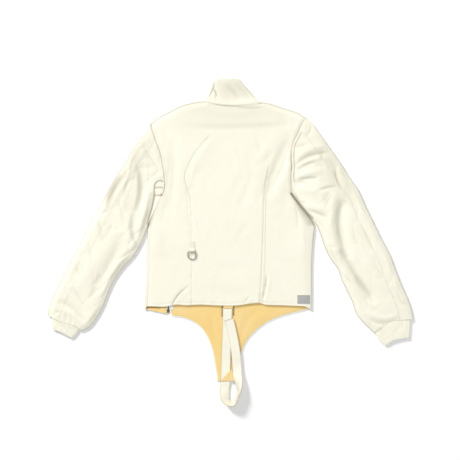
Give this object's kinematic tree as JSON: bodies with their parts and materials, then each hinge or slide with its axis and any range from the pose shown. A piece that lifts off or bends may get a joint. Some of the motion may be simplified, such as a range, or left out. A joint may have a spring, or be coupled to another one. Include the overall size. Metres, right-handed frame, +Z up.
{
  "type": "fencing jacket",
  "caption": "Fencing jacket laid flat with its back up: stand collar, set-in sleeves, rib-knit cuffs, pointed front panel with a webbing loop, and a metal ring on the back.",
  "frame": {"origin": "middle of the outline, on the surface that the jacket lies on", "axes": "+Z up from the surface, towards the jacket's back; +Y from the hem to the collar; +X to the right as seen from above"},
  "size_m": [1.0208, 0.9167, 0.0236],
  "materials": {
    "cream_cotton": "stiff cream cotton, matt",
    "golden_lining": "golden-yellow cotton lining, matt",
    "cream_rib_knit": "cream rib knit, matt",
    "cream_webbing": "off-white woven webbing",
    "white_tape": "white zip tape",
    "dark_metal": "dark zip metal, satin",
    "ring_metal": "nickel-plated wire",
    "grey_label": "plain grey woven label"
  },
  "bodies": {
    "garment": {"back": "cream_cotton", "front_main": "cream_cotton", "front_side_left": "cream_cotton", "point_lining": "golden_lining", "sleeve_left_upper": "cream_cotton", "sleeve_left_under": "cream_cotton", "sleeve_right_upper": "cream_cotton", "sleeve_right_under": "cream_cotton", "cuff_left": "cream_rib_knit", "cuff_right": "cream_rib_knit", "collar": "cream_cotton", "crotch_strap": "cream_webbing", "strap_anchor": "golden_lining", "strap_casing": "golden_lining", "zip_tape_main": "white_tape", "zip_tape_side": "white_tape", "zip_chain": "dark_metal", "zip_box": "dark_metal", "ring_tab": "cream_cotton", "side_label": "grey_label"},
    "ring": {"d_ring": "ring_metal"}
  },
  "joints": [
    {"name": "ring_swing", "type": "hinge", "parent": "garment", "child": "ring", "pos_m": [-0.108, -0.025, 0.01078], "axis": [-1, 0, 0], "range_deg": [0, 170]}
  ]
}
